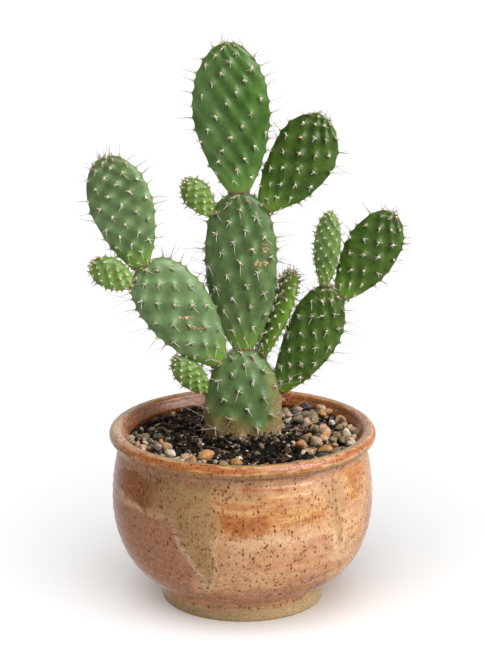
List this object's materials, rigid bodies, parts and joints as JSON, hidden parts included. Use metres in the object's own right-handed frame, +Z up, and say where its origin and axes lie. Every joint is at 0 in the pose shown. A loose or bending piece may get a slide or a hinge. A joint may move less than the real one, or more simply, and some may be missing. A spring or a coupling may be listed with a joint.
{
  "type": "potted paddle cactus",
  "caption": "Prickly pear cactus with flat spiny pads and small buds, standing in dark gritty soil in a round glazed stoneware bowl pot with a rolled rim.",
  "frame": {"origin": "on the pot's axis, in the plane of its foot", "axes": "+Z up along the pot's axis; the broad faces of most pads look towards -Y and +Y; +X to the right as seen from -Y"},
  "size_m": [0.1932, 0.1598, 0.345],
  "materials": {
    "glaze": "gloss",
    "bare_clay": "matte",
    "soil": "matte",
    "gravel": "matte",
    "old_pad": "satin",
    "young_pad": "satin",
    "spine": "satin",
    "areole": "matte"
  },
  "bodies": {
    "root": {"pot": "glaze", "soil": "soil", "gravel_right": "gravel", "gravel_left": "gravel", "pad_base": "old_pad", "pad_main": "old_pad", "pad_top": "young_pad", "pad_upper_right": "young_pad", "bud_main": "young_pad", "pad_left": "old_pad", "pad_left_top": "old_pad", "bud_left": "young_pad", "bud_base": "young_pad", "pad_edge_on": "young_pad", "pad_right": "old_pad", "pad_right_narrow": "young_pad", "pad_right_top": "young_pad"}
  },
  "joints": []
}
